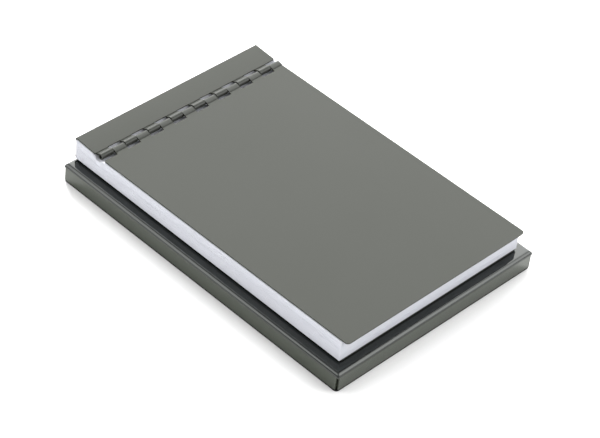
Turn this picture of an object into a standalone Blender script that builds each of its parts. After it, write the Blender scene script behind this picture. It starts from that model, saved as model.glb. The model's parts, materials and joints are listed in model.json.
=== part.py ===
"""Pocket notebook on its tray: sheet-metal covers joined by a piano hinge, with the pages between them.

Metres, +Z up, +Y towards the bound head of the pages. X is the width, and the hinge runs along X.
"""

import math

import bmesh
import bpy

MM = 0.001

# Tray
SIDE_MARGIN = 4.45
FOOT_MARGIN = 2.07
TRAY_WALL = 7.14
TRAY_SHEET = 0.6
TRAY_BEND = 1.6
CORNER_SLIT = 0.6
PAD_PROUD = 0.7
PAD_INSET = 0.3
PAD_CORNER = 2.5

# Notebook
NOTEBOOK_WIDTH = 89.1
COVER_LEFT_INSET = 0.5
COVER_LENGTH = 122.68
COVER_RISE = 1.2
COVER_SHEET = 0.45
COVER_CORNER = 1.4
HEAD_HEIGHT = 9.46
STRIP_LENGTH = 12.65
STRIP_DROP = 0.82
SPINE_TOP_BEND = 0.6
SPINE_FOOT_BEND = 1.6
FOLD_ROUNDING = 0.8

# Piano hinge
KNUCKLE_RADIUS = 1.2
KNUCKLE_COUNT = 16
KNUCKLE_START = 0.6
FIRST_KNUCKLE = 5.44
LAST_KNUCKLE = 5.0
AXIS_SINK = 0.35
TAB_RUN = 1.65
TAB_ROOT = 3.0
STRIP_RUN = 2.15
STRIP_ROOT = 2.55
ROLL_END = 242.0
PIN_RECESS = 1.8

# Pages
PAGE_SIDE_INSET = 0.05
PAGE_FOOT_INSET = 2.2
LEAF_PACKS = 8
GLUE_THICKNESS = 0.5

# Fits
GAP = 0.3
REST_GAP = 0.25
PIN_FIT = 0.3
SIDE_GAP = 0.3

# How finely the curls are drawn, and how far a cutter runs on past the piece
ROLL_STEPS = 16
OVERRUN = 3.0

# Sizes that follow from the ones above
TRAY_WIDTH = NOTEBOOK_WIDTH + 2 * SIDE_MARGIN
TRAY_LENGTH = STRIP_LENGTH + COVER_LENGTH + FOOT_MARGIN
TRAY_TOP = PAD_PROUD + TRAY_WALL
BACK_UNDER = TRAY_TOP + REST_GAP
BACK_TOP = BACK_UNDER + COVER_SHEET
HEAD_END = TRAY_LENGTH / 2
STRIP_TOP = TRAY_TOP + HEAD_HEIGHT
STRIP_SLOPE = STRIP_DROP / STRIP_LENGTH
AXIS_Y = HEAD_END - STRIP_LENGTH
HINGE_TOP = STRIP_TOP - STRIP_DROP
AXIS_Z = HINGE_TOP - AXIS_SINK
COVER_FOOT = AXIS_Y - COVER_LENGTH
COVER_SLOPE = COVER_RISE / COVER_LENGTH
PAGE_FOOT = COVER_FOOT + PAGE_FOOT_INSET
PAGE_HALF = NOTEBOOK_WIDTH / 2 - PAGE_SIDE_INSET
ROLL_RADIUS = KNUCKLE_RADIUS - COVER_SHEET / 2
PIN_RADIUS = KNUCKLE_RADIUS - COVER_SHEET - PIN_FIT
LEFT = COVER_LEFT_INSET - NOTEBOOK_WIDTH / 2
RIGHT = NOTEBOOK_WIDTH / 2
KNUCKLE_PITCH = (RIGHT - LEFT - KNUCKLE_START - FIRST_KNUCKLE - LAST_KNUCKLE) / (KNUCKLE_COUNT - 2)


def clear_scene():
    for item in list(bpy.data.objects):
        bpy.data.objects.remove(item, do_unlink=True)


def material(name, colour, roughness, metallic):
    made = bpy.data.materials.new(name)
    made.use_nodes = True
    shader = made.node_tree.nodes["Principled BSDF"]
    shader.inputs["Base Color"].default_value = (*colour, 1.0)
    shader.inputs["Roughness"].default_value = roughness
    shader.inputs["Metallic"].default_value = metallic
    return made


def add_object(name, mesh_builder, look, origin=(0.0, 0.0, 0.0), smooth=False):
    """An object from a bmesh in millimetres, with its origin at the given point."""
    for vertex in mesh_builder.verts:
        vertex.co.x = (vertex.co.x - origin[0]) * MM
        vertex.co.y = (vertex.co.y - origin[1]) * MM
        vertex.co.z = (vertex.co.z - origin[2]) * MM
    bmesh.ops.recalc_face_normals(mesh_builder, faces=mesh_builder.faces)
    for face in mesh_builder.faces:
        face.smooth = smooth
    mesh = bpy.data.meshes.new(name)
    mesh_builder.to_mesh(mesh)
    mesh_builder.free()
    mesh.materials.append(look)
    item = bpy.data.objects.new(name, mesh)
    item.location = [value * MM for value in origin]
    bpy.context.scene.collection.objects.link(item)
    return item


def stack(rings, closed=False):
    """A solid through rings of equal length. It is capped at both ends unless it closes on itself."""
    builder = bmesh.new()
    made = [[builder.verts.new(point) for point in ring] for ring in rings]
    count = len(made[0])
    pairs = list(zip(made, made[1:]))
    if closed:
        pairs.append((made[-1], made[0]))
    else:
        builder.faces.new(list(reversed(made[0])))
        builder.faces.new(made[-1])
    for lower, upper in pairs:
        for i in range(count):
            j = (i + 1) % count
            builder.faces.new((lower[i], lower[j], upper[j], upper[i]))
    return builder


def prism(outline, x_from, x_to):
    """A solid with this outline in (y, z), run along X."""
    return stack([[(x, y, z) for y, z in outline] for x in (x_from, x_to)])


def block(x_from, x_to, y_from, y_to, z_from, z_to):
    outline = [(y_from, z_from), (y_to, z_from), (y_to, z_to), (y_from, z_to)]
    return prism(outline, x_from, x_to)


def rounded_rectangle(width, length, radius, steps):
    points = []
    for quarter in range(4):
        side_x = 1 if quarter in (0, 3) else -1
        side_y = 1 if quarter in (0, 1) else -1
        for step in range(steps + 1):
            turn = math.radians(90 * quarter + 90 * step / steps)
            x = side_x * (width / 2 - radius) + radius * math.cos(turn)
            y = side_y * (length / 2 - radius) + radius * math.sin(turn)
            points.append((x, y))
    return points


def cut(item, cutters):
    """Takes every cutter out of the item."""
    for number, cutter in enumerate(cutters):
        cutter.hide_render = True
        cutter.display_type = "WIRE"
        modifier = item.modifiers.new(f"cut {number}", "BOOLEAN")
        modifier.operation = "DIFFERENCE"
        modifier.solver = "EXACT"
        modifier.object = cutter


def filleted(path, radii, steps):
    """The path with each inner corner turned into an arc of its radius."""
    points = [path[0]]
    for before, corner, after, radius in zip(path, path[1:], path[2:], radii):
        to_before = (before[0] - corner[0], before[1] - corner[1])
        to_after = (after[0] - corner[0], after[1] - corner[1])
        heading = math.atan2(-to_before[1], -to_before[0])
        turn = math.atan2(to_after[1], to_after[0]) - heading
        turn = (turn + math.pi) % (2 * math.pi) - math.pi
        reach = radius * math.tan(abs(turn) / 2)
        length = math.hypot(*to_before)
        start = (corner[0] + to_before[0] * reach / length, corner[1] + to_before[1] * reach / length)
        side = 1 if turn > 0 else -1
        centre = (start[0] - side * radius * math.sin(heading), start[1] + side * radius * math.cos(heading))
        for step in range(steps + 1):
            angle = heading + turn * step / steps
            y = centre[0] + side * radius * math.sin(angle)
            z = centre[1] - side * radius * math.cos(angle)
            points.append((y, z))
    points.append(path[-1])
    return points


def roll(crease, forward):
    """The middle line of a leaf that rises from its crease and rolls over the pin. forward is 1 or -1 along Y."""
    run = (AXIS_Y - crease[0]) * forward
    rise = AXIS_Z - crease[1]
    reach = math.hypot(run, rise)
    slope = math.atan2(rise, run) + math.asin(ROLL_RADIUS / reach)
    points = []
    for step in range(ROLL_STEPS + 1):
        angle = -slope + (math.radians(ROLL_END) + slope) * step / ROLL_STEPS
        y = AXIS_Y + forward * ROLL_RADIUS * math.sin(angle)
        z = AXIS_Z + ROLL_RADIUS * math.cos(angle)
        points.append((y, z))
    return points


def thickened(path, thickness):
    """The closed outline of a sheet of this thickness that follows the path with its middle."""
    upper = []
    lower = []
    for i, (y, z) in enumerate(path):
        headings = []
        if i > 0:
            headings.append(math.atan2(z - path[i - 1][1], y - path[i - 1][0]))
        if i < len(path) - 1:
            headings.append(math.atan2(path[i + 1][1] - z, path[i + 1][0] - y))
        turn = (headings[-1] - headings[0] + math.pi) % (2 * math.pi) - math.pi
        middle = headings[0] + turn / 2
        reach = thickness / 2 / math.cos(turn / 2)
        upper.append((y - reach * math.sin(middle), z + reach * math.cos(middle)))
        lower.append((y + reach * math.sin(middle), z - reach * math.cos(middle)))
    return upper + list(reversed(lower))


def knuckle_spans():
    """The span of each knuckle along X, from the left. Even ones are the strip's, odd ones the front cover's."""
    second = LEFT + KNUCKLE_START + FIRST_KNUCKLE
    edges = [LEFT + KNUCKLE_START]
    edges += [second + KNUCKLE_PITCH * i for i in range(KNUCKLE_COUNT - 1)]
    edges.append(RIGHT)
    return list(zip(edges, edges[1:]))


def strip_top_at(y):
    return STRIP_TOP - STRIP_SLOPE * (HEAD_END - y)


def cover_top_at(y):
    return HINGE_TOP + COVER_SLOPE * (AXIS_Y - y)


def tray_rings(builder, levels):
    """The four corner vertices of the folded sheet at each (inset, z)."""
    rings = []
    for inset, z in levels:
        x = TRAY_WIDTH / 2 - inset
        y = TRAY_LENGTH / 2 - inset
        corners = [(x, y, z), (-x, y, z), (-x, -y, z), (x, -y, z)]
        rings.append([builder.verts.new(point) for point in corners])
    return rings


def build_tray(paint, board, felt):
    bend_z = TRAY_TOP - TRAY_BEND
    turns = [math.radians(angle) for angle in (0, 22.5, 45, 67.5, 90)]
    inner = TRAY_BEND - TRAY_SHEET
    outside = [(0.0, PAD_PROUD)]
    outside += [(TRAY_BEND * (1 - math.cos(a)), bend_z + TRAY_BEND * math.sin(a)) for a in turns]
    inside = [(TRAY_SHEET, PAD_PROUD)]
    inside += [(TRAY_BEND - inner * math.cos(a), bend_z + inner * math.sin(a)) for a in turns]
    builder = bmesh.new()
    outer_rings = tray_rings(builder, outside)
    inner_rings = tray_rings(builder, inside)
    builder.faces.new(outer_rings[-1])
    builder.faces.new(list(reversed(inner_rings[-1])))
    for i in range(4):
        j = (i + 1) % 4
        for lower, upper in zip(outer_rings, outer_rings[1:]):
            builder.faces.new((lower[i], lower[j], upper[j], upper[i]))
        for lower, upper in zip(inner_rings, inner_rings[1:]):
            builder.faces.new((lower[j], lower[i], upper[i], upper[j]))
        builder.faces.new((outer_rings[0][j], outer_rings[0][i], inner_rings[0][i], inner_rings[0][j]))
    shell = add_object("tray_shell", builder, paint)
    cutters = []
    for side_x in (-1, 1):
        for side_y in (-1, 1):
            reach = 2 * TRAY_BEND
            slit = block(-reach, reach, -CORNER_SLIT / 2, CORNER_SLIT / 2, PAD_PROUD - OVERRUN, bend_z)
            cutter = add_object(f"slit cutter {side_x} {side_y}", slit, paint)
            cutter.location = (side_x * TRAY_WIDTH / 2 * MM, side_y * TRAY_LENGTH / 2 * MM, 0)
            cutter.rotation_euler = (0, 0, math.radians(45) * side_x * side_y)
            cutters.append(cutter)
    cut(shell, cutters)

    core_x = TRAY_WIDTH / 2 - TRAY_BEND - GAP
    core_y = TRAY_LENGTH / 2 - TRAY_BEND - GAP
    core_top = TRAY_TOP - TRAY_SHEET - GAP
    add_object("tray_core", block(-core_x, core_x, -core_y, core_y, PAD_PROUD, core_top), board)

    pad_outline = rounded_rectangle(TRAY_WIDTH - 2 * PAD_INSET, TRAY_LENGTH - 2 * PAD_INSET, PAD_CORNER, 4)
    pad = stack([[(x, y, z) for x, y in pad_outline] for z in (0.0, PAD_PROUD - GAP)])
    add_object("base_pad", pad, felt)


def foot_cutter(side, look):
    """A cutter that rounds one foot corner of the front cover. side is -1 at the left and 1 at the right."""
    edge = RIGHT if side > 0 else LEFT
    centre_x = edge - side * COVER_CORNER
    centre_y = COVER_FOOT + COVER_CORNER
    far_x = edge + side * OVERRUN
    far_y = COVER_FOOT - OVERRUN
    outline = []
    steps = 5
    for step in range(steps + 1):
        turn = math.radians(90 * step / steps)
        x = centre_x + side * COVER_CORNER * math.cos(turn)
        y = centre_y - COVER_CORNER * math.sin(turn)
        outline.append((x, y))
    outline += [(centre_x, far_y), (far_x, far_y), (far_x, centre_y)]
    levels = (HINGE_TOP - OVERRUN, HINGE_TOP + COVER_RISE + OVERRUN)
    mesh_builder = stack([[(x, y, z) for x, y in outline] for z in levels])
    return add_object(f"foot cutter {side}", mesh_builder, look)


def notch_cutters(name, spans, kept, y_from, y_to, look):
    """Cutters between the knuckles of one leaf. kept is 0 for the strip and 1 for the front cover."""
    low = AXIS_Z - KNUCKLE_RADIUS - OVERRUN
    high = STRIP_TOP + OVERRUN
    cutters = []
    for number, (x_from, x_to) in enumerate(spans):
        if number % 2 != kept:
            left = LEFT - OVERRUN if number == 0 else x_from - SIDE_GAP / 2
            right = RIGHT + OVERRUN if number == KNUCKLE_COUNT - 1 else x_to + SIDE_GAP / 2
            tool = block(left, right, y_from, y_to, low, high)
            cutters.append(add_object(f"{name} notch {number}", tool, look))
    return cutters


def build_front_cover(paint):
    crease = (AXIS_Y - TAB_RUN, cover_top_at(AXIS_Y - TAB_RUN) - COVER_SHEET / 2)
    start = (COVER_FOOT, cover_top_at(COVER_FOOT) - COVER_SHEET / 2)
    turned = roll(crease, 1)
    path = filleted([start, crease, turned[0]], [FOLD_ROUNDING], 2)[:-1] + turned
    outline = thickened(path, COVER_SHEET)
    front = add_object("front_cover", prism(outline, LEFT, RIGHT), paint, (0.0, AXIS_Y, AXIS_Z))
    cutters = notch_cutters("cover", knuckle_spans(), 1, AXIS_Y - TAB_ROOT, AXIS_Y + OVERRUN, paint)
    cutters += [foot_cutter(side, paint) for side in (-1, 1)]
    cut(front, cutters)


def build_back_cover(paint):
    spans = knuckle_spans()
    back_mid = BACK_UNDER + COVER_SHEET / 2
    spine_mid = HEAD_END - COVER_SHEET / 2
    corner_z = strip_top_at(spine_mid) - COVER_SHEET / 2
    crease = (AXIS_Y + STRIP_RUN, strip_top_at(AXIS_Y + STRIP_RUN) - COVER_SHEET / 2)
    turned = roll(crease, -1)
    corners = [(PAGE_FOOT, back_mid), (spine_mid, back_mid), (spine_mid, corner_z), crease, turned[0]]
    radii = [SPINE_FOOT_BEND - COVER_SHEET / 2, SPINE_TOP_BEND - COVER_SHEET / 2, FOLD_ROUNDING]
    path = filleted(corners, radii, 4)[:-1] + turned
    outline = thickened(path, COVER_SHEET)
    back = add_object("back_cover", prism(outline, LEFT, RIGHT), paint)
    hinge_from = AXIS_Y - OVERRUN
    root = AXIS_Y + STRIP_ROOT
    cutters = notch_cutters("strip", spans, 0, hinge_from, root, paint)
    low = AXIS_Z - KNUCKLE_RADIUS - OVERRUN
    left_end = block(LEFT - OVERRUN, spans[0][0], hinge_from, root, low, STRIP_TOP + OVERRUN)
    cutters.append(add_object("strip end cutter", left_end, paint))
    cut(back, cutters)


def build_pin(steel):
    sides = 16
    rings = []
    for x in (LEFT + KNUCKLE_START + PIN_RECESS, RIGHT - PIN_RECESS):
        ring = []
        for step in range(sides):
            turn = 2 * math.pi * step / sides
            ring.append((x, AXIS_Y + PIN_RADIUS * math.cos(turn), AXIS_Z + PIN_RADIUS * math.sin(turn)))
        rings.append(ring)
    add_object("hinge_pin", stack(rings), steel, smooth=True)


def leaf_levels():
    """For each pack from the top: its hinge point, its thickness there, then its top and thickness at the foot."""
    head_room = cover_top_at(AXIS_Y) - COVER_SHEET - BACK_TOP
    foot_room = cover_top_at(PAGE_FOOT) - COVER_SHEET - BACK_TOP
    head_pitch = (head_room - GAP) / LEAF_PACKS
    foot_pitch = (foot_room - GAP) / LEAF_PACKS
    levels = []
    for number in range(LEAF_PACKS):
        y = AXIS_Y - KNUCKLE_RADIUS - 3 * GAP - head_pitch * number
        head_top = BACK_TOP + head_room - GAP - head_pitch * number
        foot_top = BACK_TOP + foot_room - GAP - foot_pitch * number
        levels.append((y, head_top, head_pitch - GAP, foot_top, foot_pitch - GAP))
    return levels


def build_pages(paper, glue):
    levels = leaf_levels()
    for number, (y, head_top, head_thick, foot_top, foot_thick) in enumerate(levels):
        outline = [
            (y, head_top),
            (y, head_top - head_thick),
            (PAGE_FOOT, foot_top - foot_thick),
            (PAGE_FOOT, foot_top),
        ]
        name = f"leaf_pack_{number + 1:02d}"
        add_object(name, prism(outline, -PAGE_HALF, PAGE_HALF), paper, (0.0, y, head_top))

    head = HEAD_END - COVER_SHEET - GAP
    glue_low = BACK_UNDER + SPINE_FOOT_BEND
    glue_high = strip_top_at(head) - COVER_SHEET - GAP
    glue_block = block(-PAGE_HALF, PAGE_HALF, head - GLUE_THICKNESS, head, glue_low, glue_high)
    add_object("glue_binding", glue_block, glue)

    stub_head = head - GLUE_THICKNESS - GAP
    floor = BACK_TOP + GAP
    under_knuckle = AXIS_Z - KNUCKLE_RADIUS - GAP
    shoulder = AXIS_Y + KNUCKLE_RADIUS + GAP
    outline = [(stub_head, floor)]
    outline.append((stub_head, strip_top_at(stub_head) - COVER_SHEET - GAP))
    outline.append((shoulder + 2 * GAP, strip_top_at(shoulder) - COVER_SHEET - GAP))
    outline.append((shoulder, under_knuckle))
    top = under_knuckle
    for y, head_top, head_thick, _foot_top, _foot_thick in levels[1:]:
        outline.append((y + GAP, top))
        top = head_top - head_thick - GAP / 2
        if top > floor:
            outline.append((y + GAP, top))
    outline.append((outline[-1][0], floor))
    add_object("bound_pages", prism(outline, -PAGE_HALF, PAGE_HALF), paper)


def main():
    clear_scene()
    paint = material("grey_paint", (0.2, 0.205, 0.19), 0.45, 0.0)
    steel = material("hinge_steel", (0.45, 0.45, 0.44), 0.35, 1.0)
    paper = material("white_paper", (0.8, 0.81, 0.83), 0.8, 0.0)
    glue = material("padding_glue", (0.75, 0.74, 0.68), 0.5, 0.0)
    board = material("core_board", (0.35, 0.28, 0.2), 0.8, 0.0)
    felt = material("black_pad", (0.015, 0.015, 0.015), 0.9, 0.0)
    build_tray(paint, board, felt)
    build_front_cover(paint)
    build_back_cover(paint)
    build_pin(steel)
    build_pages(paper, glue)


main()
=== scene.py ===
import json
import math
import random

import bmesh
import bpy
from mathutils import Matrix, Vector, noise


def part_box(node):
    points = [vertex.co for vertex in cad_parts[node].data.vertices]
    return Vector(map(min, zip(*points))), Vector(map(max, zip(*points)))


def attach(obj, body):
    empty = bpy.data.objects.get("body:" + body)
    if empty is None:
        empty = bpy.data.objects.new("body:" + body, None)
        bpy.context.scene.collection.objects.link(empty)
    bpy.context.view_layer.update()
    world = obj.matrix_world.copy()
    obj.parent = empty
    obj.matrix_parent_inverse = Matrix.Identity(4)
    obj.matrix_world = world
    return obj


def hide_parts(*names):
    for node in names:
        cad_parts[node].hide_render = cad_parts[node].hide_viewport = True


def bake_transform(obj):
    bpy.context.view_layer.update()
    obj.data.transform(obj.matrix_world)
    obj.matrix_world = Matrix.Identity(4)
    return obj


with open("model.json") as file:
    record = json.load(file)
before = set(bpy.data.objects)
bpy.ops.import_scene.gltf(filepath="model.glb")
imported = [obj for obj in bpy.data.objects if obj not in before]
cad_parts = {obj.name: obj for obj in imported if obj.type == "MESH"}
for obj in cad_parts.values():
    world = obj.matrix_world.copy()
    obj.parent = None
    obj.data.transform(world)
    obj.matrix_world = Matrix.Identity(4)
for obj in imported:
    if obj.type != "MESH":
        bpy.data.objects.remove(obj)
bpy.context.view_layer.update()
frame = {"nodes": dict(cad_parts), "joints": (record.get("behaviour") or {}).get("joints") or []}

# All sizes are in millimetres until a mesh is made, and in metres after that.
MM = 0.001

# From which angle an edge shades sharp, and from which it is rounded, in degrees
SHARP_FROM = 35.0
SOFTEN_FROM = 40.0

# Tray, one folded sheet
TRAY_SHEET = 0.6
TRAY_BEND = 1.6
TRAY_CORNER = 0.45
TRAY_CORNER_STEPS = 8
TRAY_EDGE = 0.15
BEND_TURN_STEP = 7.5
BEND_LEAD = 0.3
OUTER_CORNER_CLOSING = 0.9
INNER_CORNER_CLOSING = 0.85
FLANGE_CORNER = 0.9
FLANGE_STEPS = (0.9, 0.6, 0.36, 0.16)
SLIT_HALF_WIDTH = 0.1

# Foam pad under the tray
PAD_CORNER = 1.4
PAD_CORNER_STEPS = 8
PAD_EDGE = 0.12
PAD_CLEARANCE = 0.06

# Covers
COVER_SHEET = 0.45
COVER_CORNER = 1.4
COVER_RISE = 1.2
STRIP_CORNER = 0.35
STRIP_END_CORNER = 0.3
STRIP_LENGTH = 12.65
STRIP_DROP = 0.82
NOTCH_CORNER = 0.3
SPINE_TOP_BEND = 0.6
SPINE_FOOT_BEND = 1.6
SPINE_BEND_STEPS = 8
CUT_EDGE = 0.07

# Piano hinge
KNUCKLE_COUNT = 16
KNUCKLE_START = 0.6
FIRST_KNUCKLE = 5.44
LAST_KNUCKLE = 5.0
SIDE_GAP = 0.3
AXIS_SINK = 0.35
STRIP_KNUCKLE = 1.35
COVER_KNUCKLE = 1.02
TAB_RUN = 1.65
TAB_ROOT = 2.85
TAB_STEP = 0.3
TAB_FOOT_LEAD = 0.06
TAB_CREST_LAG = 0.08
TAB_CREASES = (0.08, 0.1)
STRIP_RUN = 2.15
STRIP_ROOT = 2.38
STRIP_GROOVE = 0.26
GROOVE_WIDTH = 0.18
STRIP_CREASES = (0.08, 0.08)
ROLL_END = 305.0
ROLL_STEPS = 34
PIN_CLEARANCE = 0.03
PIN_SIDES = 24
PIN_END_SHARE = 0.35

# Pages
SHEETS_PER_PACK = 9
PAPER = 0.072
PAPER_CLEARANCE = 0.12
PAGE_COLUMNS = (-1.0, -0.97, -0.8, 0.0, 0.97, 1.0)
ROWS_START = 6.0
ROW_STEP = 0.4
ROWS_NEAR_HINGE = 40
ROWS_BEYOND = 14
SIDE_SCATTER = 0.035
FOOT_SCATTER = 0.10
TOP_FAN = 0.05
COVER_PRESS = (0.9, 2.1)
STRIP_PRESS = (0.7, 1.9)
DIP_SPREAD = 1.7
LIFTED_SHARE = 0.7
LIFT = 0.16
LIFT_START = (-63.0, -52.0)
LIFT_END = (-32.0, -44.0)
GLUE_CLEARANCE = 0.03
GLUE_BULGE = 0.06
GLUE_EDGE = 0.08
GLUE_STEPS_ALONG = 60
GLUE_STEPS_UP = 5
GLUE_WAVE = (0.35, 1.0, 0.6)

# Paint
PAINT_DIMPLES = 0.02
ZONE_FADE = 0.4
# How much glossier the painted edge highlight is
EDGE_HIGHLIGHT_GLOSS = 0.05

# Studio
CAMERA_PLACE = Vector((-0.50290, -0.42798, 0.57511))
CAMERA_FORWARD = Vector((0.57640, 0.48828, -0.65526))
CAMERA_RIGHT = Vector((0.7060, -0.7014, 0.0983))
CAMERA_LENS = 148.1
PANEL_DISTANCE = 2.5
STUDIO_AIR = 0.7

# Places that follow from the frame
TRAY_LOW, TRAY_HIGH = [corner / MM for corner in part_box("tray_shell")]
FRONT_LOW, FRONT_HIGH = [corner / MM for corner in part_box("front_cover")]
BACK_LOW, BACK_HIGH = [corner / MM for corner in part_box("back_cover")]
PIN_LOW, PIN_HIGH = [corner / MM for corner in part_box("hinge_pin")]
GLUE_LOW, GLUE_HIGH = [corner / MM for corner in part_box("glue_binding")]
LEAF_LOW, LEAF_HIGH = [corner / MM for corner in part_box("leaf_pack_01")]
PIVOTS = {joint["child"]: Vector(joint["pos_m"]) / MM for joint in frame["joints"] if "pos_m" in joint}
AXIS = PIVOTS["front_cover"]
LEAF_BODIES = sorted(name for name in PIVOTS if name.startswith("leaves_"))
LEFT = FRONT_LOW.x
RIGHT = FRONT_HIGH.x
HINGE_TOP = AXIS.z + AXIS_SINK
COVER_LENGTH = AXIS.y - FRONT_LOW.y
PIN_RADIUS = (PIN_HIGH.z - PIN_LOW.z) / 2
KNUCKLE_PITCH = (RIGHT - LEFT - KNUCKLE_START - FIRST_KNUCKLE - LAST_KNUCKLE) / (KNUCKLE_COUNT - 2)


def cover_top(y):
    return HINGE_TOP + COVER_RISE * (AXIS.y - y) / COVER_LENGTH


def strip_top(y):
    return HINGE_TOP + STRIP_DROP * (y - AXIS.y) / STRIP_LENGTH


def smooth_step(low, high, value):
    share = min(max((value - low) / (high - low), 0.0), 1.0)
    return share * share * (3 - 2 * share)


# ---------------------------------------------------------------- nodes

def feed(tree, socket, value):
    if isinstance(value, bpy.types.NodeSocket):
        tree.links.new(value, socket)
    else:
        socket.default_value = value


def maths(tree, operation, *values):
    node = tree.nodes.new("ShaderNodeMath")
    node.operation = operation
    for socket, value in zip(node.inputs, values):
        feed(tree, socket, value)
    return node.outputs[0]


def vector_maths(tree, operation, *values):
    node = tree.nodes.new("ShaderNodeVectorMath")
    node.operation = operation
    for socket, value in zip(node.inputs, values):
        feed(tree, socket, value)
    return node.outputs[0]


def split(tree, vector):
    """The three parts of a vector."""
    node = tree.nodes.new("ShaderNodeSeparateXYZ")
    feed(tree, node.inputs[0], vector)
    return node.outputs


def mix_colour(tree, share, first, second):
    node = tree.nodes.new("ShaderNodeMix")
    node.data_type = "RGBA"
    feed(tree, node.inputs["Factor"], share)
    feed(tree, node.inputs["A"], first)
    feed(tree, node.inputs["B"], second)
    return node.outputs["Result"]


def map_range(tree, value, from_low, from_high, to_low, to_high):
    node = tree.nodes.new("ShaderNodeMapRange")
    for socket, number in zip(node.inputs, (value, from_low, from_high, to_low, to_high)):
        feed(tree, socket, number)
    return node.outputs["Result"]


def spread(tree, mask, low, high):
    """A grain mask, which keeps near one half, spread over this range."""
    return map_range(tree, mask, 0.3, 0.7, low, high)


def noise_at(tree, place, scale, detail, roughness=0.5):
    node = tree.nodes.new("ShaderNodeTexNoise")
    feed(tree, node.inputs["Vector"], place)
    feed(tree, node.inputs["Scale"], scale)
    feed(tree, node.inputs["Detail"], detail)
    feed(tree, node.inputs["Roughness"], roughness)
    return node.outputs["Fac"]


def new_group(name, inputs, outputs):
    """An empty node group with these sockets. Gives the group, its input node and its output node."""
    group = bpy.data.node_groups.new(name, "ShaderNodeTree")
    for label, kind, value in inputs:
        socket = group.interface.new_socket(name=label, in_out="INPUT", socket_type="NodeSocket" + kind)
        if value is not None:
            socket.default_value = value
    for label, kind in outputs:
        group.interface.new_socket(name=label, in_out="OUTPUT", socket_type="NodeSocket" + kind)
    return group, group.nodes.new("NodeGroupInput"), group.nodes.new("NodeGroupOutput")


def grain_group():
    """Fine grain over slow mottling: a mask around one half."""
    group, given, out = new_group(
        "fine_grain",
        [("Place", "Vector", None), ("Grain Scale", "Float", 3000.0), ("Mottle Scale", "Float", 60.0),
         ("Mottle Share", "Float", 0.4)],
        [("Mask", "Float"), ("Mottle", "Float")],
    )
    fine = noise_at(group, given.outputs["Place"], given.outputs["Grain Scale"], 3.0, 0.6)
    slow = noise_at(group, given.outputs["Place"], given.outputs["Mottle Scale"], 2.0)
    keep = maths(group, "SUBTRACT", 1.0, given.outputs["Mottle Share"])
    fine_part = maths(group, "MULTIPLY", fine, keep)
    slow_part = maths(group, "MULTIPLY", slow, given.outputs["Mottle Share"])
    group.links.new(maths(group, "ADD", fine_part, slow_part), out.inputs["Mask"])
    group.links.new(slow, out.inputs["Mottle"])
    return group


def orange_peel_group():
    """The soft dimples of sprayed paint, as a height."""
    group, given, out = new_group(
        "orange_peel",
        [("Place", "Vector", None), ("Dimple Scale", "Float", 900.0), ("Depth", "Float", 1.0)],
        [("Height", "Float")],
    )
    dimples = noise_at(group, given.outputs["Place"], given.outputs["Dimple Scale"], 1.0, 0.4)
    wave_scale = maths(group, "MULTIPLY", given.outputs["Dimple Scale"], 0.12)
    waves = noise_at(group, given.outputs["Place"], wave_scale, 1.0)
    both = maths(group, "ADD", maths(group, "MULTIPLY", dimples, 0.6), maths(group, "MULTIPLY", waves, 0.8))
    group.links.new(maths(group, "MULTIPLY", both, given.outputs["Depth"]), out.inputs["Height"])
    return group


def edge_highlight_group():
    """Where the painted edge highlight goes: two faces of the box around the piece are both near. Grain breaks it
    up.
    """
    group, given, out = new_group(
        "edge_highlight",
        [("Place", "Vector", None), ("Half Size", "Vector", None), ("Middle", "Vector", None),
         ("Reach", "Float", 0.0006), ("Amount", "Float", 0.5)],
        [("Mask", "Float")],
    )
    offset = vector_maths(group, "SUBTRACT", given.outputs["Place"], given.outputs["Middle"])
    size = vector_maths(group, "ABSOLUTE", offset)
    inward = vector_maths(group, "SUBTRACT", given.outputs["Half Size"], size)
    across, along, high = split(group, inward)
    lesser = maths(group, "MINIMUM", across, along)
    greater = maths(group, "MAXIMUM", across, along)
    second = maths(group, "MAXIMUM", lesser, maths(group, "MINIMUM", greater, high))
    closeness = map_range(group, second, 0.0, given.outputs["Reach"], 1.0, 0.0)
    broken = noise_at(group, given.outputs["Place"], 1400.0, 4.0, 0.7)
    painted_highlight = map_range(group, broken, 0.45, 0.7, 0.0, 1.0)
    mask = maths(group, "MULTIPLY", maths(group, "MULTIPLY", closeness, painted_highlight), given.outputs["Amount"])
    group.links.new(mask, out.inputs["Mask"])
    return group


def new_material(name):
    """A material with its Principled shader and the place of each point in the object's own frame."""
    made = bpy.data.materials.new(name)
    made.use_nodes = True
    tree = made.node_tree
    shader = tree.nodes["Principled BSDF"]
    place = tree.nodes.new("ShaderNodeTexCoord").outputs["Object"]
    return made, tree, shader, place


def place_group(tree, group, place, **values):
    """A copy of a node group in a material. An underscore in a value's name stands for a space."""
    node = tree.nodes.new("ShaderNodeGroup")
    node.node_tree = group
    feed(tree, node.inputs["Place"], place)
    for label, value in values.items():
        feed(tree, node.inputs[label.replace("_", " ")], value)
    return node.outputs


def colour_by(tree, shader, mask, dark, light):
    colour = mix_colour(tree, spread(tree, mask, 0.0, 1.0), (*dark, 1.0), (*light, 1.0))
    tree.links.new(colour, shader.inputs["Base Color"])


def roughen_by(tree, shader, mask, smoothest, roughest):
    tree.links.new(spread(tree, mask, smoothest, roughest), shader.inputs["Roughness"])


def bump(tree, shader, height, strength, distance):
    node = tree.nodes.new("ShaderNodeBump")
    node.inputs["Strength"].default_value = strength
    node.inputs["Distance"].default_value = distance
    feed(tree, node.inputs["Height"], height)
    tree.links.new(node.outputs["Normal"], shader.inputs["Normal"])


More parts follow.
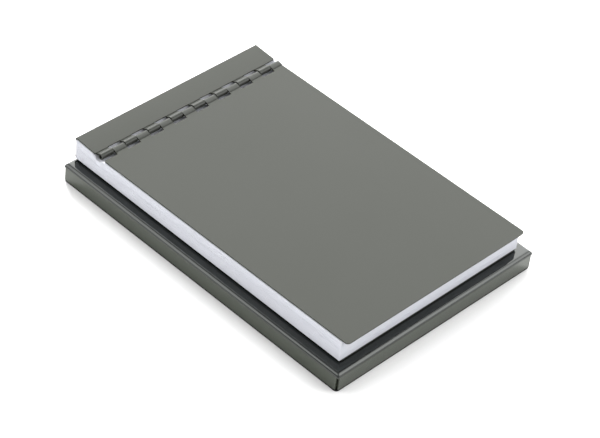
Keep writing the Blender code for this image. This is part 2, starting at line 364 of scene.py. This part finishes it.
def paint(name, low, high, zone, colour, edge_light_colour, roughness, specular, peel, edge_light_amount, zone_shade_colour, zone_roughness, coat):
    """Sprayed paint on sheet metal, lighter and glossier along its edges as a painted edge highlight. low and high
    are the corners of the piece that it covers.

    zone(tree, place) gives a mask for the part of the piece with its own colour, roughness and coat; that colour
    is painted light and shade.
    """
    made, tree, shader, place = new_material(name)
    grain = place_group(tree, GRAIN, place, Grain_Scale=2600.0, Mottle_Scale=45.0, Mottle_Share=0.5)
    middle = (low + high) / 2 * MM
    half = (high - low) / 2 * MM
    # A lighter, glossier band along the piece's edges: painted edge highlight
    painted_highlight = place_group(tree, EDGE_HIGHLIGHT, place, Half_Size=half, Middle=middle, Amount=edge_light_amount)["Mask"]
    darker = tuple(value * 0.97 for value in colour)
    lighter = tuple(value * 1.03 for value in colour)
    body = mix_colour(tree, spread(tree, grain["Mask"], 0.0, 1.0), (*darker, 1.0), (*lighter, 1.0))
    inside = zone(tree, place)
    # The zone's own colour is painted light and shade
    body = mix_colour(tree, inside, body, (*zone_shade_colour, 1.0))
    tree.links.new(mix_colour(tree, painted_highlight, body, (*edge_light_colour, 1.0)), shader.inputs["Base Color"])
    gloss = spread(tree, grain["Mottle"], roughness * 0.96, roughness * 1.04)
    gloss = map_range(tree, inside, 0.0, 1.0, gloss, zone_roughness)
    gloss = maths(tree, "SUBTRACT", gloss, maths(tree, "MULTIPLY", painted_highlight, EDGE_HIGHLIGHT_GLOSS))
    tree.links.new(gloss, shader.inputs["Roughness"])
    if coat > 0.0:
        tree.links.new(maths(tree, "MULTIPLY", inside, coat), shader.inputs["Coat Weight"])
        shader.inputs["Coat Roughness"].default_value = zone_roughness
    shader.inputs["Specular IOR Level"].default_value = specular
    shader.inputs["Specular Tint"].default_value = (0.97, 1.0, 0.96, 1.0)
    height = place_group(tree, PEEL, place, Dimple_Scale=1100.0, Depth=1.0)["Height"]
    bump(tree, shader, height, peel, PAINT_DIMPLES * MM)
    return made


def hinge_zone(tree, place):
    """The rolled part of the covers, close to the hinge's axis, which handling has polished; its darker colour is
    painted shade.
    """
    away = maths(tree, "ABSOLUTE", maths(tree, "SUBTRACT", split(tree, place)["Y"], AXIS.y * MM))
    return map_range(tree, away, TAB_RUN * MM, (TAB_RUN + ZONE_FADE) * MM, 1.0, 0.0)


def wall_zone(tree, place):
    """The tray's walls, below the bend, in a lighter colour than the near-black top of the same sheet: painted
    light and shade.
    """
    bend = TRAY_HIGH.z - TRAY_BEND
    return map_range(tree, split(tree, place)["Z"], bend * MM, (bend + ZONE_FADE) * MM, 1.0, 0.0)


def paper():
    made, tree, shader, place = new_material("paper")
    fibres = vector_maths(tree, "MULTIPLY", place, (0.6, 1.0, 2.2))
    grain = place_group(tree, GRAIN, fibres, Grain_Scale=5200.0, Mottle_Scale=130.0, Mottle_Share=0.3)
    colour_by(tree, shader, grain["Mask"], (0.60, 0.61, 0.65), (0.64, 0.65, 0.70))
    roughen_by(tree, shader, grain["Mask"], 0.72, 0.88)
    shader.inputs["Specular IOR Level"].default_value = 0.25
    bump(tree, shader, grain["Mask"], 0.35, 0.00003)
    return made


def drawn_steel():
    made, tree, shader, place = new_material("drawn_steel")
    along = vector_maths(tree, "MULTIPLY", place, (0.04, 1.0, 1.0))
    grain = place_group(tree, GRAIN, along, Grain_Scale=7000.0, Mottle_Scale=400.0, Mottle_Share=0.3)
    colour_by(tree, shader, grain["Mask"], (0.36, 0.36, 0.35), (0.52, 0.52, 0.50))
    roughen_by(tree, shader, grain["Mask"], 0.26, 0.42)
    shader.inputs["Metallic"].default_value = 1.0
    bump(tree, shader, grain["Mask"], 0.2, 0.00002)
    return made


def padding_glue():
    made, tree, shader, place = new_material("padding_glue")
    grain = place_group(tree, GRAIN, place, Grain_Scale=1800.0, Mottle_Scale=300.0, Mottle_Share=0.6)
    colour_by(tree, shader, grain["Mask"], (0.60, 0.60, 0.61), (0.68, 0.68, 0.69))
    roughen_by(tree, shader, grain["Mottle"], 0.35, 0.6)
    bump(tree, shader, grain["Mask"], 0.5, 0.0001)
    return made


def black_board():
    made, tree, shader, place = new_material("black_board")
    layers = vector_maths(tree, "MULTIPLY", place, (1.0, 1.0, 9.0))
    grain = place_group(tree, GRAIN, layers, Grain_Scale=2200.0, Mottle_Scale=160.0, Mottle_Share=0.45)
    colour_by(tree, shader, grain["Mask"], (0.022, 0.02, 0.018), (0.045, 0.042, 0.038))
    roughen_by(tree, shader, grain["Mask"], 0.75, 0.92)
    shader.inputs["Specular IOR Level"].default_value = 0.1
    bump(tree, shader, grain["Mask"], 0.6, 0.00012)
    return made


def foam_rubber():
    made, tree, shader, place = new_material("foam_rubber")
    cells = tree.nodes.new("ShaderNodeTexVoronoi")
    feed(tree, cells.inputs["Vector"], place)
    cells.inputs["Scale"].default_value = 2600.0
    grain = place_group(tree, GRAIN, place, Grain_Scale=1500.0, Mottle_Scale=90.0, Mottle_Share=0.4)
    # Near black: the foam's own colour, which also serves as painted shade under the tray's walls
    colour_by(tree, shader, grain["Mask"], (0.008, 0.008, 0.009), (0.02, 0.02, 0.021))
    roughen_by(tree, shader, grain["Mask"], 0.8, 0.95)
    shader.inputs["Specular IOR Level"].default_value = 0.05
    bump(tree, shader, cells.outputs["Distance"], 0.6, 0.00015)
    return made


# ---------------------------------------------------------------- mesh helpers

def to_object(name, builder, look):
    """A mesh object from a bmesh in millimetres."""
    for vertex in builder.verts:
        vertex.co *= MM
    bmesh.ops.recalc_face_normals(builder, faces=builder.faces)
    mesh = bpy.data.meshes.new(name)
    builder.to_mesh(mesh)
    builder.free()
    mesh.shade_smooth()
    mesh.set_sharp_from_angle(angle=math.radians(SHARP_FROM))
    mesh.materials.append(look)
    item = bpy.data.objects.new(name, mesh)
    bpy.context.scene.collection.objects.link(item)
    return item


def soften_edges(item, width, segments=2):
    modifier = item.modifiers.new("soft edges", "BEVEL")
    modifier.width = width * MM
    modifier.segments = segments
    modifier.limit_method = "ANGLE"
    modifier.angle_limit = math.radians(SOFTEN_FROM)
    modifier.harden_normals = True


def thicken(item, thickness):
    modifier = item.modifiers.new("sheet thickness", "SOLIDIFY")
    modifier.thickness = thickness * MM
    modifier.offset = 0.0
    modifier.use_even_offset = True


def add_rows(builder, rows):
    """Joins rows of vertices, each row as long as the next, with quads."""
    for before, after in zip(rows, rows[1:]):
        for i in range(len(before) - 1):
            builder.faces.new((before[i], before[i + 1], after[i + 1], after[i]))


def add_tube(builder, rings):
    """Joins closed rings of vertices with quads, and closes both ends."""
    count = len(rings[0])
    for before, after in zip(rings, rings[1:]):
        for i in range(count):
            j = (i + 1) % count
            builder.faces.new((before[i], before[j], after[j], after[i]))
    builder.faces.new(list(reversed(rings[0])))
    builder.faces.new(rings[-1])


def corner_points(x, y, side_x, side_y, radius, steps=6):
    """The rounded corner at (x, y) of a plate, from its side edge to its end edge."""
    points = []
    for step in range(steps + 1):
        turn = math.radians(90 * step / steps)
        px = x - side_x * radius * (1 - math.cos(turn))
        py = y - side_y * radius * (1 - math.sin(turn))
        points.append((px, py))
    return points


def filleted(path, radii, steps):
    """The path in (y, z) with each inner corner turned into an arc of its radius."""
    points = [path[0]]
    for before, corner, after, radius in zip(path, path[1:], path[2:], radii):
        corner = Vector(corner)
        arriving = (corner - Vector(before)).normalized()
        leaving = (Vector(after) - corner).normalized()
        turn = arriving.angle_signed(leaving)
        reach = radius * math.tan(abs(turn) / 2)
        start = corner - arriving * reach
        end = corner + leaving * reach
        inward = (leaving - arriving).normalized()
        centre = corner + inward * radius / math.cos(turn / 2)
        first = start - centre
        last = end - centre
        sweep = first.angle_signed(last)
        for step in range(steps + 1):
            spin = Matrix.Rotation(-sweep * step / steps, 2)
            points.append(tuple(centre + spin @ first))
    points.append(path[-1])
    return points


# ---------------------------------------------------------------- tray

def ring_points(inset, radius, z):
    """One level of the tray's skin: each corner is an arc, with a few points on the straight beside it."""
    half_x = TRAY_HIGH.x - inset
    half_y = TRAY_HIGH.y - inset
    points = []
    for quarter in range(4):
        side_x = 1 if quarter in (0, 3) else -1
        side_y = 1 if quarter in (0, 1) else -1
        centre = Vector((side_x * (half_x - radius), side_y * (half_y - radius)))
        start = math.radians(90 * quarter)
        arc = []
        for step in range(TRAY_CORNER_STEPS + 1):
            turn = start + math.radians(90 * step / TRAY_CORNER_STEPS)
            arc.append(centre + radius * Vector((math.cos(turn), math.sin(turn))))
        before = Vector((math.sin(start), -math.cos(start)))
        after = Vector((-math.cos(start), -math.sin(start)))
        corner = [arc[0] + before * reach for reach in FLANGE_STEPS]
        corner += arc
        corner += [arc[-1] + after * reach for reach in reversed(FLANGE_STEPS)]
        points += [(point.x, point.y, z) for point in corner]
    return points


def tray_skin_rings():
    """The outer and inner levels of the tray's sheet, from foot to top, and how many levels are walls."""
    floor_z = TRAY_LOW.z
    bend_z = TRAY_HIGH.z - TRAY_BEND
    inner_bend = TRAY_BEND - TRAY_SHEET
    inner_corner = TRAY_CORNER - TRAY_SHEET
    levels = [floor_z, floor_z + FLANGE_CORNER, (floor_z + bend_z) / 2, bend_z - BEND_LEAD]
    outer = [ring_points(0.0, TRAY_CORNER, z) for z in levels]
    inside = [ring_points(TRAY_SHEET, inner_corner, z) for z in levels]
    for step in range(round(90 / BEND_TURN_STEP) + 1):
        turn = math.radians(BEND_TURN_STEP * step)
        away = 1 - math.cos(turn)
        rise = math.sin(turn)
        corner = TRAY_CORNER * (1 - OUTER_CORNER_CLOSING * away)
        outer.append(ring_points(TRAY_BEND * away, corner, bend_z + TRAY_BEND * rise))
        corner = inner_corner * (1 - INNER_CORNER_CLOSING * away)
        inside.append(ring_points(TRAY_SHEET + inner_bend * away, corner, bend_z + inner_bend * rise))
    return outer, inside, len(levels)


def round_flange_corners(ring):
    """Lifts the foot of each wall in a quarter circle where it ends at a slit."""
    reaches = list(FLANGE_STEPS) + [0.0] * (TRAY_CORNER_STEPS + 1) + list(reversed(FLANGE_STEPS))
    for i, (x, y, z) in enumerate(ring):
        away = min(reaches[i % len(reaches)] + SLIT_HALF_WIDTH, FLANGE_CORNER)
        drop = math.sqrt(FLANGE_CORNER ** 2 - (FLANGE_CORNER - away) ** 2)
        ring[i] = (x, y, z + FLANGE_CORNER - drop)


def build_tray(look):
    """The tray's folded sheet: an outer skin with an open slit at each corner, and its twin inside."""
    outer, inside, wall_levels = tray_skin_rings()
    round_flange_corners(outer[0])
    round_flange_corners(inside[0])
    flange_points = len(FLANGE_STEPS)
    per_corner = TRAY_CORNER_STEPS + 1 + 2 * flange_points
    slit = range(flange_points - 2, flange_points + TRAY_CORNER_STEPS + 2)

    builder = bmesh.new()
    outer_verts = [[builder.verts.new(point) for point in ring] for ring in outer]
    inner_verts = [[builder.verts.new(point) for point in ring] for ring in inside]
    partner = {}
    for ring, twin in zip(outer_verts, inner_verts):
        partner.update(zip(ring, twin))
    count = len(outer[0])
    skin = [builder.faces.new(outer_verts[-1])]
    for level, (lower, upper) in enumerate(zip(outer_verts, outer_verts[1:])):
        for i in range(count):
            is_slit = level < wall_levels and i % per_corner in slit
            if not is_slit:
                j = (i + 1) % count
                skin.append(builder.faces.new((lower[i], lower[j], upper[j], upper[i])))
    rim = [edge for edge in builder.edges if len(edge.link_faces) == 1]
    for face in skin:
        builder.faces.new([partner[vertex] for vertex in reversed(face.verts)])
    for edge in rim:
        first, second = edge.verts
        builder.faces.new((first, second, partner[second], partner[first]))
    loose = [vertex for vertex in builder.verts if not vertex.link_faces]
    bmesh.ops.delete(builder, geom=loose, context="VERTS")
    item = to_object("tray_skin", builder, look)
    soften_edges(item, TRAY_EDGE, 3)
    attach(item, "tray")
    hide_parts("tray_shell")


def build_pad(look):
    """The foam pad under the tray: rounded in plan, with softer edges, and just inside the tray's walls, where its
    near-black side also serves as painted shade under them.
    """
    turns = [math.radians(18 * step) for step in range(6)]
    edge = [(PAD_EDGE * (1 - math.sin(a)), PAD_EDGE * (1 - math.cos(a))) for a in turns]
    top = TRAY_LOW.z - PAD_CLEARANCE
    profile = edge + [(inset, top - z) for inset, z in reversed(edge)]
    builder = bmesh.new()
    rings = []
    for inset, z in profile:
        half_x = TRAY_HIGH.x - PAD_CLEARANCE - inset
        half_y = TRAY_HIGH.y - PAD_CLEARANCE - inset
        radius = PAD_CORNER - inset
        points = []
        for side_x, side_y in ((1, 1), (-1, 1), (-1, -1), (1, -1)):
            arc = corner_points(side_x * half_x, side_y * half_y, side_x, side_y, radius, PAD_CORNER_STEPS)
            points += arc if side_x * side_y > 0 else list(reversed(arc))
        rings.append([builder.verts.new((x, y, z)) for x, y in points])
    add_tube(builder, rings)
    item = to_object("foam_pad", builder, look)
    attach(item, "tray")
    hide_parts("base_pad")


# ---------------------------------------------------------------- covers and hinge

def knuckle_spans():
    """The span of each knuckle along X, from the left. Even ones belong to the strip, odd ones to the cover."""
    second = LEFT + KNUCKLE_START + FIRST_KNUCKLE
    edges = [LEFT + KNUCKLE_START]
    edges += [second + KNUCKLE_PITCH * i for i in range(KNUCKLE_COUNT - 1)]
    edges.append(RIGHT)
    spans = []
    for number, (x_from, x_to) in enumerate(zip(edges, edges[1:])):
        first = x_from if number == 0 else x_from + SIDE_GAP / 2
        last = x_to if number == KNUCKLE_COUNT - 1 else x_to - SIDE_GAP / 2
        spans.append((first, last))
    return spans


def roll(crease, outer_radius, forward):
    """The middle line of a knuckle from its crease: a ramp up, then a curl in around the pin.

    forward is 1 where the crease lies before the hinge's axis along Y, and -1 where it lies behind it.
    """
    radius = outer_radius - COVER_SHEET / 2
    last_radius = PIN_RADIUS + PIN_CLEARANCE + COVER_SHEET / 2
    run = (AXIS.y - crease[0]) * forward
    rise = AXIS.z - crease[1]
    slope = math.atan2(rise, run) + math.asin(radius / math.hypot(run, rise))
    points = []
    for step in range(ROLL_STEPS + 1):
        share = step / ROLL_STEPS
        angle = -slope + (math.radians(ROLL_END) + slope) * share
        reach = radius + (last_radius - radius) * share
        points.append((AXIS.y + forward * reach * math.sin(angle), AXIS.z + reach * math.cos(angle)))
    return points


def tab_path(root, middle_z):
    """The middle line of a cover knuckle: a small step up from the plate, a gentle ramp, then the curl."""
    crease = AXIS.y - TAB_RUN
    foot = (crease - TAB_FOOT_LEAD, middle_z(crease))
    crest = (crease + TAB_CREST_LAG, middle_z(crease) + TAB_STEP)
    turned = roll(crest, COVER_KNUCKLE, 1)
    return filleted([(root, middle_z(root)), foot, crest, turned[0]], TAB_CREASES, 2)[1:-1] + turned


def strip_path(root, middle_z):
    """The middle line of a strip knuckle: a pressed groove, a steep ramp, then the curl."""
    crease = AXIS.y + STRIP_RUN
    shoulder = (crease + GROOVE_WIDTH, middle_z(crease))
    bottom = (crease, middle_z(crease) - STRIP_GROOVE)
    turned = roll(bottom, STRIP_KNUCKLE, -1)
    return filleted([(root, middle_z(root)), shoulder, bottom, turned[0]], STRIP_CREASES, 2)[1:-1] + turned


def add_knuckle(builder, root_pair, path):
    """Carries a leaf on from its two root vertices along the path in (y, z)."""
    rows = [root_pair]
    for y, z in path:
        rows.append([builder.verts.new((vertex.co.x, y, z)) for vertex in root_pair])
    add_rows(builder, rows)


def root_line(builder, spans, kept, y, z):
    """The vertices along the root of a leaf, and the pair of each of its knuckles."""
    edges = []
    pairs = {}
    for number, (x_from, x_to) in enumerate(spans):
        if number % 2 == kept:
            pairs[number] = [builder.verts.new((x_from, y, z)), builder.verts.new((x_to, y, z))]
            edges += pairs[number]
    return edges, pairs


def build_front_cover(look):
    """The front cover: a plate that rises towards its foot, with the odd knuckles."""
    builder = bmesh.new()

    def middle_z(y):
        return cover_top(y) - COVER_SHEET / 2

    root = AXIS.y - TAB_ROOT
    foot = FRONT_LOW.y
    outline = []
    left_foot = corner_points(LEFT, foot, -1, -1, COVER_CORNER)
    right_foot = list(reversed(corner_points(RIGHT, foot, 1, -1, COVER_CORNER)))
    for x, y in left_foot + right_foot:
        outline.append(builder.verts.new((x, y, middle_z(y))))
    root_verts, pairs = root_line(builder, knuckle_spans(), 1, root, middle_z(root))
    outline += list(reversed(root_verts))
    for x, y in reversed(corner_points(LEFT, root, -1, 1, NOTCH_CORNER)):
        outline.append(builder.verts.new((x, y, middle_z(y))))
    builder.faces.new(outline)
    path = tab_path(root, middle_z)
    for pair in pairs.values():
        add_knuckle(builder, pair, path)
    item = to_object("front_leaf", builder, look)
    thicken(item, COVER_SHEET)
    soften_edges(item, CUT_EDGE)
    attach(item, "front_cover")
    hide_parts("front_cover")


def build_back_cover(look):
    """The back cover: back plate, spine and head strip in one bent sheet, with the even knuckles."""
    builder = bmesh.new()
    back_mid = BACK_LOW.z + COVER_SHEET / 2
    spine_mid = BACK_HIGH.y - COVER_SHEET / 2

    def middle_z(y):
        return strip_top(y) - COVER_SHEET / 2

    foot = BACK_LOW.y
    root = AXIS.y + STRIP_ROOT
    radii = [SPINE_FOOT_BEND - COVER_SHEET / 2, SPINE_TOP_BEND - COVER_SHEET / 2]
    corners = [(foot, back_mid), (spine_mid, back_mid), (spine_mid, middle_z(spine_mid)), (root, middle_z(root))]
    bend = filleted(corners, radii, SPINE_BEND_STEPS)[1:-1]
    rows = [[builder.verts.new((x, y, z)) for x in (LEFT, RIGHT)] for y, z in bend]
    add_rows(builder, rows)

    plate = [builder.verts.new((x, y, back_mid)) for x, y in corner_points(LEFT, foot, -1, -1, COVER_CORNER)]
    far = corner_points(RIGHT, foot, 1, -1, COVER_CORNER)
    plate += [builder.verts.new((x, y, back_mid)) for x, y in reversed(far)]
    builder.faces.new(plate + [rows[0][1], rows[0][0]])

    root_verts, pairs = root_line(builder, knuckle_spans(), 0, root, middle_z(root))
    outline = [rows[-1][0]]
    end_left = corner_points(LEFT, root, -1, -1, STRIP_END_CORNER, 2)
    outline += [builder.verts.new((x, y, middle_z(y))) for x, y in end_left]
    outline += root_verts
    end_right = corner_points(RIGHT, root, 1, -1, STRIP_CORNER)
    outline += [builder.verts.new((x, y, middle_z(y))) for x, y in reversed(end_right)]
    outline.append(rows[-1][1])
    builder.faces.new(outline)
    path = strip_path(root, middle_z)
    for pair in pairs.values():
        add_knuckle(builder, pair, path)
    item = to_object("back_leaf", builder, look)
    thicken(item, COVER_SHEET)
    soften_edges(item, CUT_EDGE)
    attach(item, "notebook")
    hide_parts("back_cover")


def build_pin(look):
    """The hinge wire, with its ends cut and slightly rounded."""
    rounding = PIN_RADIUS * PIN_END_SHARE
    turns = [math.radians(15 * step) for step in range(7)]
    end = [(rounding * (1 - math.sin(a)), PIN_RADIUS - rounding * (1 - math.cos(a))) for a in turns]
    profile = [(PIN_LOW.x + x, r) for x, r in reversed(end)]
    profile += [(PIN_HIGH.x - x, r) for x, r in end]
    builder = bmesh.new()
    rings = []
    for x, r in profile:
        ring = []
        for step in range(PIN_SIDES):
            turn = 2 * math.pi * step / PIN_SIDES
            ring.append(builder.verts.new((x, AXIS.y + r * math.cos(turn), AXIS.z + r * math.sin(turn))))
        rings.append(ring)
    add_tube(builder, rings)
    item = to_object("hinge_wire", builder, look)
    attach(item, "notebook")
    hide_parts("hinge_pin")


# ---------------------------------------------------------------- pages

def block_top(y, spread_out):
    """The top of the page block: under the cover, pressed down below the hinge, and up again under the strip."""
    under_cover = cover_top(y) - COVER_SHEET - PAPER_CLEARANCE
    under_strip = strip_top(y) - COVER_SHEET - PAPER_CLEARANCE
    under_hinge = AXIS.z - STRIP_KNUCKLE - PAPER_CLEARANCE
    if y < AXIS.y:
        risen = smooth_step(COVER_PRESS[0], COVER_PRESS[1] + spread_out, AXIS.y - y)
        return under_hinge + (under_cover - under_hinge) * risen
    risen = smooth_step(STRIP_PRESS[0], STRIP_PRESS[1] + spread_out, y - AXIS.y)
    return under_hinge + (under_strip - under_hinge) * risen


def page_rows():
    """The places along Y of a page's rows of vertices: close together where the page bends."""
    head = GLUE_LOW.y - GLUE_CLEARANCE
    foot = LEAF_LOW.y
    near_hinge = [AXIS.y + ROWS_START - ROW_STEP * step for step in range(ROWS_NEAR_HINGE)]
    run = near_hinge[-1] - foot
    far = [near_hinge[-1] - run * step / ROWS_BEYOND for step in range(1, ROWS_BEYOND + 1)]
    return [head, (head + near_hinge[0]) / 2] + near_hinge + far


def edge_lift(number, total, y, column):
    """How far the left edge of the upper pages stands up, most at the page where the gap opens."""
    lifted_from = int(total * LIFTED_SHARE)
    if number < lifted_from:
        return 0.0
    bell = smooth_step(*LIFT_END, y) * smooth_step(*LIFT_START, y)
    near_edge = smooth_step(0.0, 1.0, -column)
    easing = 1 - smooth_step(lifted_from, total - 1, number)
    return LIFT * bell * near_edge * easing


def sheet_grids(number, total, shift_x, shift_y):
    """The points of one page, first of its lower face and then of its upper face, row by row along Y."""
    floor_z = BACK_LOW.z + COVER_SHEET + PAPER_CLEARANCE
    foot = LEAF_LOW.y
    share = (number + 0.5) / total
    fan = TOP_FAN * smooth_step(0.9, 1.0, share)
    grids = []
    for side in (-0.5, 0.5):
        grid = []
        for y in page_rows():
            full = cover_top(y) - COVER_SHEET - PAPER_CLEARANCE
            flat = floor_z + share * (full - floor_z)
            edge_dip = share ** 3 * (block_top(y, 0.0) - full)
            dip = share ** 3 * (block_top(y, DIP_SPREAD) - full)
            reach = (AXIS.y - y) / (AXIS.y - foot)
            slide = shift_y if y == foot else 0.0
            row = []
            for column in PAGE_COLUMNS:
                lift = edge_lift(number, total, y, column)
                pressed = dip if abs(column) < 1.0 else edge_dip
                x = column * LEAF_HIGH.x + shift_x - fan * reach
                row.append((x, y + slide, flat + pressed + lift + side * PAPER))
            grid.append(row)
        grids.append(grid)
    return grids


def add_sheet(builder, grids):
    """Closes the two faces of a page with its four edges."""
    lower, upper = [[[builder.verts.new(point) for point in row] for row in grid] for grid in grids]
    last_row = len(lower) - 1
    last_column = len(lower[0]) - 1
    for i in range(last_row):
        for j in range(last_column):
            builder.faces.new((upper[i][j], upper[i + 1][j], upper[i + 1][j + 1], upper[i][j + 1]))
            builder.faces.new((lower[i][j], lower[i][j + 1], lower[i + 1][j + 1], lower[i + 1][j]))
        builder.faces.new((upper[i][0], lower[i][0], lower[i + 1][0], upper[i + 1][0]))
        builder.faces.new((upper[i][-1], upper[i + 1][-1], lower[i + 1][-1], lower[i][-1]))
    for j in range(last_column):
        builder.faces.new((upper[0][j], upper[0][j + 1], lower[0][j + 1], lower[0][j]))
        builder.faces.new((upper[-1][j], lower[-1][j], lower[-1][j + 1], upper[-1][j + 1]))


def build_pages(look):
    """Every page, from the top one down, in one object for each pack. Each page is scattered a little."""
    chance = random.Random(11)
    total = SHEETS_PER_PACK * len(LEAF_BODIES)
    for pack, body in enumerate(LEAF_BODIES):
        builder = bmesh.new()
        for position in range(SHEETS_PER_PACK):
            number = total - 1 - (pack * SHEETS_PER_PACK + position)
            shift_x = chance.uniform(-SIDE_SCATTER, SIDE_SCATTER)
            shift_y = chance.uniform(0.0, FOOT_SCATTER)
            add_sheet(builder, sheet_grids(number, total, shift_x, shift_y))
        item = to_object(f"pages_{pack + 1:02d}", builder, look)
        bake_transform(item)
        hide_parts(f"leaf_pack_{pack + 1:02d}")
        if pack == 0:
            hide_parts("bound_pages")


def build_glue(look):
    """The strip of padding glue on the head of the pages, a little uneven as brushed on."""
    outer = BACK_HIGH.y - COVER_SHEET
    half_depth = (outer - GLUE_LOW.y) / 2
    height = GLUE_HIGH.z - GLUE_LOW.z
    steps = range(GLUE_STEPS_UP + 1)
    around = [(GLUE_LOW.y, GLUE_LOW.z + height * i / GLUE_STEPS_UP) for i in steps]
    around += [(outer - GLUE_BULGE, GLUE_HIGH.z - height * i / GLUE_STEPS_UP) for i in steps]
    builder = bmesh.new()
    rings = []
    for step in range(GLUE_STEPS_ALONG + 1):
        x = GLUE_LOW.x + (GLUE_HIGH.x - GLUE_LOW.x) * step / GLUE_STEPS_ALONG
        ring = []
        for y, z in around:
            wave = 0.0
            if y > GLUE_LOW.y + half_depth:
                wave = noise.noise(Vector((x * GLUE_WAVE[0], y * GLUE_WAVE[1], z * GLUE_WAVE[2])))
            ring.append(builder.verts.new((x, y + GLUE_BULGE * wave, z)))
        rings.append(ring)
    add_tube(builder, rings)
    item = to_object("brushed_glue", builder, look)
    soften_edges(item, GLUE_EDGE)
    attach(item, "notebook")
    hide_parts("glue_binding")


# ---------------------------------------------------------------- studio

def panel(name, azimuth, elevation, width, height, radiance, mirrored=True):
    """A soft panel, seen from the object at this azimuth from +X and this elevation. Angles are in degrees."""
    light = bpy.data.lights.new(name, "AREA")
    light.shape = "RECTANGLE"
    light.size = 2 * PANEL_DISTANCE * math.tan(math.radians(width / 2))
    light.size_y = 2 * PANEL_DISTANCE * math.tan(math.radians(height / 2))
    light.energy = math.pi * radiance * light.size * light.size_y
    item = bpy.data.objects.new(name, light)
    item.visible_camera = False
    item.visible_glossy = mirrored
    bpy.context.scene.collection.objects.link(item)
    turn = math.radians(azimuth)
    rise = math.radians(elevation)
    direction = Vector((math.cos(turn) * math.cos(rise), math.sin(turn) * math.cos(rise), math.sin(rise)))
    item.location = direction.normalized() * PANEL_DISTANCE
    item.rotation_euler = direction.to_track_quat("Z", "Y").to_euler()


def build_lights():
    world = bpy.data.worlds.new("studio_air")
    world.use_nodes = True
    world.node_tree.nodes["Background"].inputs["Color"].default_value = (1.0, 1.0, 1.0, 1.0)
    world.node_tree.nodes["Background"].inputs["Strength"].default_value = STUDIO_AIR
    bpy.context.scene.world = world
    panel("back_panel", 40.0, 35.0, 66.0, 54.0, 4.8)
    panel("key_lamp", 60.0, 32.0, 15.0, 15.0, 44.0, False)
    panel("left_panel", 138.0, 30.0, 28.0, 44.0, 3.5)
    panel("right_panel", -45.0, 30.0, 28.0, 44.0, 4.6)


def build_floor():
    builder = bmesh.new()
    bmesh.ops.create_grid(builder, x_segments=8, y_segments=8, size=8.0)
    mesh = bpy.data.meshes.new("studio_floor")
    builder.to_mesh(mesh)
    builder.free()
    floor = bpy.data.objects.new("studio_floor", mesh)
    bpy.context.scene.collection.objects.link(floor)
    look = bpy.data.materials.new("floor_white")
    look.use_nodes = True
    shader = look.node_tree.nodes["Principled BSDF"]
    shader.inputs["Base Color"].default_value = (0.93, 0.93, 0.93, 1.0)
    shader.inputs["Roughness"].default_value = 0.9
    shader.inputs["Specular IOR Level"].default_value = 0.1
    mesh.materials.append(look)


def build_camera():
    camera = bpy.data.cameras.new("camera")
    camera.sensor_width = 36.0
    camera.lens = CAMERA_LENS
    camera.clip_start = 0.01
    item = bpy.data.objects.new("camera", camera)
    bpy.context.scene.collection.objects.link(item)
    forward = CAMERA_FORWARD.normalized()
    up = CAMERA_RIGHT.cross(forward).normalized()
    right = forward.cross(up)
    turned = Matrix((right, up, -forward)).transposed().to_4x4()
    item.matrix_world = Matrix.Translation(CAMERA_PLACE) @ turned
    bpy.context.scene.camera = item


GRAIN = grain_group()
PEEL = orange_peel_group()
EDGE_HIGHLIGHT = edge_highlight_group()

# One sheet in two tones: the near-black top is painted shade for its dark band, and the lighter walls are painted
# light
TRAY_PAINT_AND_SHADE = {
    "colour": (0.010, 0.012, 0.012),
    "edge_light_colour": (0.05, 0.052, 0.05),
    "roughness": 0.04,
    "specular": 0.5,
    "peel": 0.03,
    "edge_light_amount": 0.4,
    "zone_shade_colour": (0.034, 0.040, 0.028),
    "zone_roughness": 0.1,
    "coat": 0.0,
}
# The hinge zone's darker colour is painted shade on the knuckles
COVER_PAINT_AND_SHADE = {
    "colour": (0.029, 0.031, 0.025),
    "edge_light_colour": (0.05, 0.052, 0.044),
    "roughness": 0.4,
    "specular": 0.185,
    "peel": 0.08,
    "edge_light_amount": 0.25,
    "zone_shade_colour": (0.016, 0.018, 0.013),
    "zone_roughness": 0.28,
    "coat": 0.25,
}

bpy.context.scene.view_settings.view_transform = "Standard"
build_lights()
build_floor()
build_camera()
build_tray(paint("tray_paint", TRAY_LOW, TRAY_HIGH, wall_zone, **TRAY_PAINT_AND_SHADE))
build_pad(foam_rubber())
frame["nodes"]["tray_core"].data.materials.clear()
frame["nodes"]["tray_core"].data.materials.append(black_board())
build_front_cover(paint("front_paint", FRONT_LOW, FRONT_HIGH, hinge_zone, **COVER_PAINT_AND_SHADE))
build_back_cover(paint("back_paint", BACK_LOW, BACK_HIGH, hinge_zone, **COVER_PAINT_AND_SHADE))
build_pin(drawn_steel())
build_pages(paper())
build_glue(padding_glue())

bpy.context.view_layer.update()
